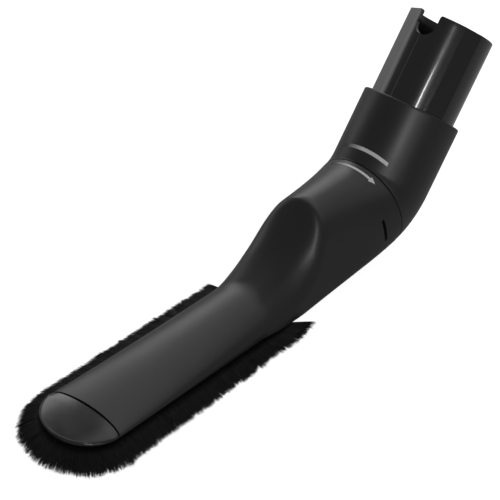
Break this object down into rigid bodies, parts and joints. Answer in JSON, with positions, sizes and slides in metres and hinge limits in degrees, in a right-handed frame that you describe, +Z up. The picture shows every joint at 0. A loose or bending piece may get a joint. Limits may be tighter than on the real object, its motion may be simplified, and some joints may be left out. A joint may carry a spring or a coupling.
{
  "type": "vacuum dusting brush",
  "caption": "Long, low dusting brush for a vacuum cleaner: soft bristles round a slim suction head, and a hollow neck with a swivelling elbow and a round push-on connector.",
  "frame": {"origin": "middle of the floor that the part covers, between the nose and the connector's rim", "axes": "+Z up, -Y towards the nose, +Y towards the connector, +X to the right as the nose is seen from behind"},
  "size_m": [0.0452, 0.2357, 0.0886],
  "materials": {
    "grey_shell": "satin moulded plastic",
    "black_moulding": "plain moulded plastic",
    "black_gloss": "polished moulded plastic",
    "bristle": "fine soft filaments",
    "seal": "matt"
  },
  "bodies": {
    "brush": {"brush_body": "grey_shell", "nose_cap": "grey_shell", "bristle_frame": "black_moulding", "bristles": "bristle", "swivel_ring": "black_moulding"},
    "elbow": {"elbow_collar": "grey_shell", "connector": "black_gloss", "swivel_seal": "seal"}
  },
  "joints": [
    {"name": "swivel", "type": "hinge", "parent": "brush", "child": "elbow", "pos_m": [0, 0.05339, 0.01977], "axis": [0, 0.9785, 0.2062], "range_deg": [0, 180]}
  ]
}
